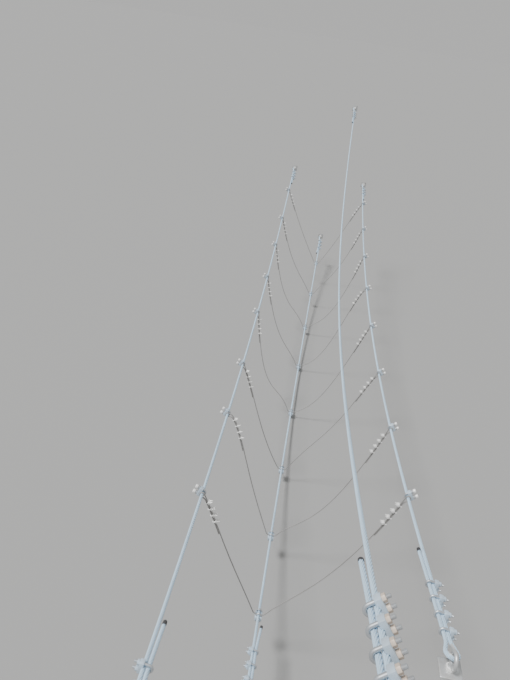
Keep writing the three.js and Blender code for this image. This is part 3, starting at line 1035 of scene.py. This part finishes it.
def makeThimble(ropeRadius):
    # Crown at the origin, span along +X, the plane of the eye in XY.
    inside, thick = ropeRadius + thimbleShape["gap"], thimbleShape["thick"]
    wrap = math.radians(thimbleShape["wrap"])
    steps = thimbleShape["wrapSteps"]
    turns = [wrap * (k / steps - 1) for k in range(2 * steps + 1)]
    section = [((inside + thick) * math.cos(a), (inside + thick) * math.sin(a)) for a in turns]
    section += [(inside * math.cos(a), inside * math.sin(a)) for a in turns[::-1]]
    radius, halfPitch = eye["radius"], ropeRadius + eye["strandGap"] / 2
    side = radius * math.sin(math.radians(eye["turn"]))
    foot = radius - radius * math.cos(math.radians(eye["turn"]))
    share = (thimbleShape["reach"] - foot) / (eye["throat"] - foot)
    tip = side + (halfPitch - side) * share
    points = [(thimbleShape["reach"], tip, 0)]
    points += [(radius - radius * math.cos(a), radius * math.sin(a), 0) for a in eyeTurns()]
    points += [(thimbleShape["reach"], -tip, 0)]
    route = softRoute(points, thimbleShape["step"], thimbleShape["rounds"])
    length = routeLength(route)
    piece = drawOut("thimble", section, length, int(length / thimbleShape["step"]))
    bendAlong(piece, route)
    return smoothFaces(giveMaterial(piece, "ringSteel"), 50)


def placeEnd(end):
    turn = Matrix((end["inward"], end["right"], end["inward"].cross(end["right"]))).transposed().to_4x4()
    return Matrix.Translation(end["crown"]) @ turn


def fitCable(name):
    cable, spec, node = cables[name], span[name], nodeOf[name]
    radius = spec["radius"]
    route = cableRoute(cable)
    rope = layCableRope(f"{node}_rope", route, radius)
    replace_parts(hang(rope, "galvanised_rope"), node)
    thimbleMaster = makeThimble(radius)
    look = {**cableGrip, "nuts": "yellowZinc"} if name == "safety" else cableGrip
    gripMaster = makeGrip("grip", look, radius, 2 * radius + eye["strandGap"])
    for which, turned, nuts in (("near", False, spec["nearNuts"]), ("far", True, 1)):
        end = cable[which]
        thimble = copyPiece(thimbleMaster, f"{node}_{which}_thimble", placeEnd(end))
        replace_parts(hang(thimble, "zinc_steel"), node)
        for k in range(gripping[which]):
            distance = gripping["first"] + k * spec["pitch"] - eye["throat"]
            share = shareFrom(cable, distance, turned)
            live = spanPoint(cable, share)
            dead = live + end["right"] * end["side"] * 2 * end["halfPitch"]
            bowed = live if nuts * end["side"] > 0 else dead
            place = placeOnRope(bowed, spanDirection(cable, share), end["right"] * nuts)
            grip = copyPiece(gripMaster, f"{node}_{which}_grip_{k + 1}", place)
            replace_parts(hang(grip, "zinc_steel"), node)
    bpy.data.objects.remove(thimbleMaster)
    bpy.data.objects.remove(gripMaster)
    tipPoints = tape["tipPoints"]
    for word, tip in (("near", route[:tipPoints]), ("far", route[::-1][:tipPoints])):
        length = tape["shortLength"] if (name, word) == ("safety", "near") else tape["length"]
        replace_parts(hang(makeTape(f"{node}_{word}_tape", tip, radius, length), "dull_rope"), node)


def makeTape(name, tip, ropeRadius, length):
    outer = ropeRadius + tape["thick"]
    first, second = Vector(tip[0]), Vector(tip[-1])
    along = (second - first).normalized()
    band = drawOut(name, circleOutline(outer, tape["sides"]), length, tape["steps"])
    for vertex in band.data.vertices:
        if vertex.co.z < 0.1 * length:
            vertex.co.x *= tape["draw"]
            vertex.co.y *= tape["draw"]
    turn = along.to_track_quat("Z", "Y").to_matrix().to_4x4()
    band.data.transform(Matrix.Translation(first - along * tape["past"]) @ turn)
    return smoothFaces(giveMaterial(band, "blackTape"), 50)


for name in cables:
    fitCable(name)
    print(f"{name} cable laid")


# Clamps

clamping = {
    "footPitch": 0.044,  # between the two bolts of a foot clamp
    "slotHalf": 0.0115,
    "slotFloor": 0.0184,
    "baseBottom": 0.0264,
    "baseHalf": 0.036,
    "baseBevel": 0.0018,
    "cheek": 0.004,  # how far a base or saddle comes up beside the rope
    "slotOver": 0.01,  # how far the slot's cutter stands out of the base
    "through": 0.2,  # long enough to cut right through
}

handClamp = {
    **cableGrip,
    "bar": 0.006,
    "inner": 0.012,
    "saddleThick": 0.018,
    "saddleLength": 0.032,
    "saddleMargin": 0.002,
    "ear": 0.0,
    "legEnd": 0.052,
    "nuts": "boltSteel",
    "saddleBevel": 0.0022,
    "capRadius": 0.0118,
    "capLength": 0.017,
    "capPast": 0.004,  # how far a cap reaches past its leg
    "capBevel": 0.0045,
    "leftLift": 20,  # degrees that the legs point above level
    "rightLift": 34,
}


def makeHandClamp():
    spec, ropeRadius = handClamp, span["left"]["radius"]
    seat = ropeRadius + spec["seatGap"]
    pieces = makeBolt(spec, spec["inner"], seat + spec["saddleThick"], spec["legEnd"], spec["inner"] - seat)
    top = seat - clamping["cheek"]
    depth = seat + spec["saddleThick"] - top
    width = 2 * (spec["inner"] + 2 * spec["bar"] + spec["saddleMargin"])
    block = addBlock((depth, spec["saddleLength"], width), (top + depth / 2, 0, 0))
    bevelEdges(block, spec["saddleBevel"], 3)
    cutRopeWay(block, ropeRadius, clamping["through"])
    pieces.append(giveMaterial(block, spec["saddle"]))
    for side in (-1, 1):
        middle = spec["legEnd"] + spec["capPast"] - spec["capLength"] / 2
        centre = (middle, 0, side * (spec["inner"] + spec["bar"]))
        cap = addCylinder(spec["capRadius"], spec["capLength"], centre, "X")
        bevelEdges(cap, spec["capBevel"], 5)
        pieces.append(giveMaterial(cap, "brightZinc"))
    return smoothFaces(joinPieces("hand_clamp", pieces))


def makeFootClamp():
    radius = span["foot"]["radius"]
    inner = radius + cableGrip["seatGap"]
    top = inner - clamping["cheek"]
    width = 2 * (inner + 2 * cableGrip["bar"] + cableGrip["saddleMargin"])
    depth = clamping["baseBottom"] - top
    base = addBlock((depth, 2 * clamping["baseHalf"], width), (top + depth / 2, 0, 0))
    bevelEdges(base, clamping["baseBevel"], 2)
    slotTop = top - clamping["slotOver"]
    slot = addBlock((clamping["slotFloor"] - slotTop, 2 * clamping["slotHalf"], 2 * width), (0, 0, 0))
    slot.data.transform(Matrix.Translation(((clamping["slotFloor"] + slotTop) / 2, 0, 0)))
    cutAway(base, slot)
    cutRopeWay(base, radius, clamping["through"])
    pieces = [giveMaterial(base, "castZinc")]
    for side in (-1, 1):
        for piece in plainBolt(cableGrip, inner, clamping["baseBottom"]):
            piece.data.transform(Matrix.Translation((0, side * clamping["footPitch"] / 2, 0)))
            pieces.append(piece)
    return smoothFaces(joinPieces("foot_clamp", pieces))


def makeClamps():
    handMaster = makeHandClamp()
    footMaster = makeFootClamp()
    for number, y in enumerate(stations):
        seat, along = clampSeat(cables["foot"], y)
        place = placeOnRope(seat, along, Vector((0, 0, -1)))
        clamp = copyPiece(footMaster, f"foot_clamp_{number + 1}_fittings", place)
        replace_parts(hang(clamp, "zinc_steel"), f"foot_clamp_{number + 1}")
        for side, word, creep in ((-1, "left", leftCreep[number]), (1, "right", 0)):
            seat, along = clampSeat(cables[word], y + creep)
            lift = math.radians(handClamp[f"{word}Lift"])
            legs = Vector((side * math.cos(lift), 0, math.sin(lift)))
            place = placeOnRope(seat, along, legs)
            clamp = copyPiece(handMaster, f"{word}_clamp_{number + 1}_fittings", place)
            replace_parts(hang(clamp, "zinc_steel"), f"{word}_clamp_{number + 1}")
    bpy.data.objects.remove(handMaster)
    bpy.data.objects.remove(footMaster)


makeClamps()
print("clamps fitted")


# Ring anchors

anchoring = {
    "plate": 0.090,
    "plateThick": 0.008,
    "plateCorner": 0.006,
    "plateBevel": 0.0008,
    "nutFlats": 0.036,
    "nutThick": 0.016,
    "nutBevel": 0.0014,
    "neck": 0.012,
    "neckSunk": 0.002,  # into the ring
    "shoulder": 0.0148,
    "shoulderLength": 0.006,
    "shoulderBack": 0.009,  # from the end of the neck
    "shoulderBevel": 0.0016,
    "ringRadius": 0.0295,
    "ringBar": 0.0085,
    "ringOffset": 0.060,
}


def makeAnchor(name, roll):
    spec = anchoring
    thick = spec["plateThick"]
    plate = addBlock((spec["plate"], thick, spec["plate"]), (0, thick / 2, 0))
    bevelAlong(plate, (0, 1, 0), spec["plateCorner"], 4)
    bevelEdges(plate, spec["plateBevel"], 2)
    nutMiddle = (0, thick + spec["nutThick"] / 2, 0)
    nut = addCylinder(spec["nutFlats"] / math.sqrt(3), spec["nutThick"], nutMiddle, "Y", 6)
    bevelEdges(nut, spec["nutBevel"], 2)
    neckEnd = spec["ringOffset"] - spec["ringRadius"]
    neck = addCylinder(spec["neck"], neckEnd, (0, neckEnd / 2 + spec["neckSunk"], 0), "Y", 32)
    shoulderMiddle = (0, neckEnd - spec["shoulderBack"], 0)
    shoulder = addCylinder(spec["shoulder"], spec["shoulderLength"], shoulderMiddle, "Y", 32)
    bevelEdges(shoulder, spec["shoulderBevel"], 3)
    deselect()
    bpy.ops.mesh.primitive_torus_add(
        major_radius=spec["ringRadius"],
        minor_radius=spec["ringBar"],
        major_segments=72,
        minor_segments=24,
        rotation=(0, math.pi / 2 + math.radians(roll), 0),
    )
    ring = bpy.context.object
    bpy.ops.object.transform_apply(location=True, rotation=True, scale=True)
    ring.data.transform(Matrix.Translation((0, spec["ringOffset"], 0)))
    pieces = [giveMaterial(piece, "ringSteel") for piece in (plate, neck, shoulder, ring)]
    pieces.append(giveMaterial(nut, "brightZinc"))
    return smoothFaces(joinPieces(name, pieces))


def fixAnchors():
    nearMaster = makeAnchor("near_anchor", 0)
    farMaster = makeAnchor("far_anchor", -eye["farRoll"])
    lying = Matrix.Rotation(math.pi / 2, 4, "X")
    half = Matrix.Rotation(math.pi, 4, "Z")
    for name, spec in span.items():
        lean = Matrix.Rotation(math.radians(spec["nearLean"]), 4, "Y")
        foot = Vector(spec["near"]) - lean @ Vector((0, 0, anchoring["ringOffset"]))
        near = copyPiece(nearMaster, f"near_{name}_anchor_ring", Matrix.Translation(foot) @ lean @ lying)
        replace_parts(hang(near, "zinc_steel"), f"near_{name}_anchor")
        back = Vector((0, anchoring["ringOffset"], 0))
        place = Matrix.Translation(Vector(spec["far"]) + back) @ half
        far = copyPiece(farMaster, f"far_{name}_anchor_ring", place)
        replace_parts(hang(far, "zinc_steel"), f"far_{name}_anchor")
    bpy.data.objects.remove(nearMaster)
    bpy.data.objects.remove(farMaster)


fixAnchors()
print("anchors fixed")


# Studio floor and lights

studio = {
    "floorGap": 0.03,  # from the lowest rope down to the floor
    "floorMiddle": 12,  # along the bridge
    "floorSize": 600,
    "floorColour": (0.31, 0.31, 0.307),
    "worldColour": (1.0, 1.0, 0.99),
    "worldStrength": 0.545,  # about as bright as the lit floor, so that no horizon shows
    "sunStrength": 4.1,
    "sunSpread": 12,  # degrees, for soft shadows
    "sunFrom": (-4, -2, 8),
}


def plainMaterial(name, colour):
    material = bpy.data.materials.new(name)
    material.use_nodes = True
    shader = material.node_tree.nodes["Principled BSDF"]
    shader.inputs["Base Color"].default_value = (*colour, 1)
    shader.inputs["Roughness"].default_value = 0.9
    return material


def setStudio():
    deselect()
    place = (0, studio["floorMiddle"], cadBox[0].z - studio["floorGap"])
    bpy.ops.mesh.primitive_plane_add(size=studio["floorSize"], location=place)
    floor = bpy.context.object
    floor.name = "floor"
    floor.data.materials.append(plainMaterial("floorPaint", studio["floorColour"]))
    world = bpy.data.worlds.new("studio")
    bpy.context.scene.world = world
    world.use_nodes = True
    background = world.node_tree.nodes["Background"]
    background.inputs["Color"].default_value = (*studio["worldColour"], 1)
    background.inputs["Strength"].default_value = studio["worldStrength"]
    data = bpy.data.lights.new("sun", "SUN")
    data.energy = studio["sunStrength"]
    data.angle = math.radians(studio["sunSpread"])
    sun = bpy.data.objects.new("sun", data)
    sun.rotation_euler = (-Vector(studio["sunFrom"])).to_track_quat("-Z", "Y").to_euler()
    bpy.context.scene.collection.objects.link(sun)


setStudio()
print("studio lit")
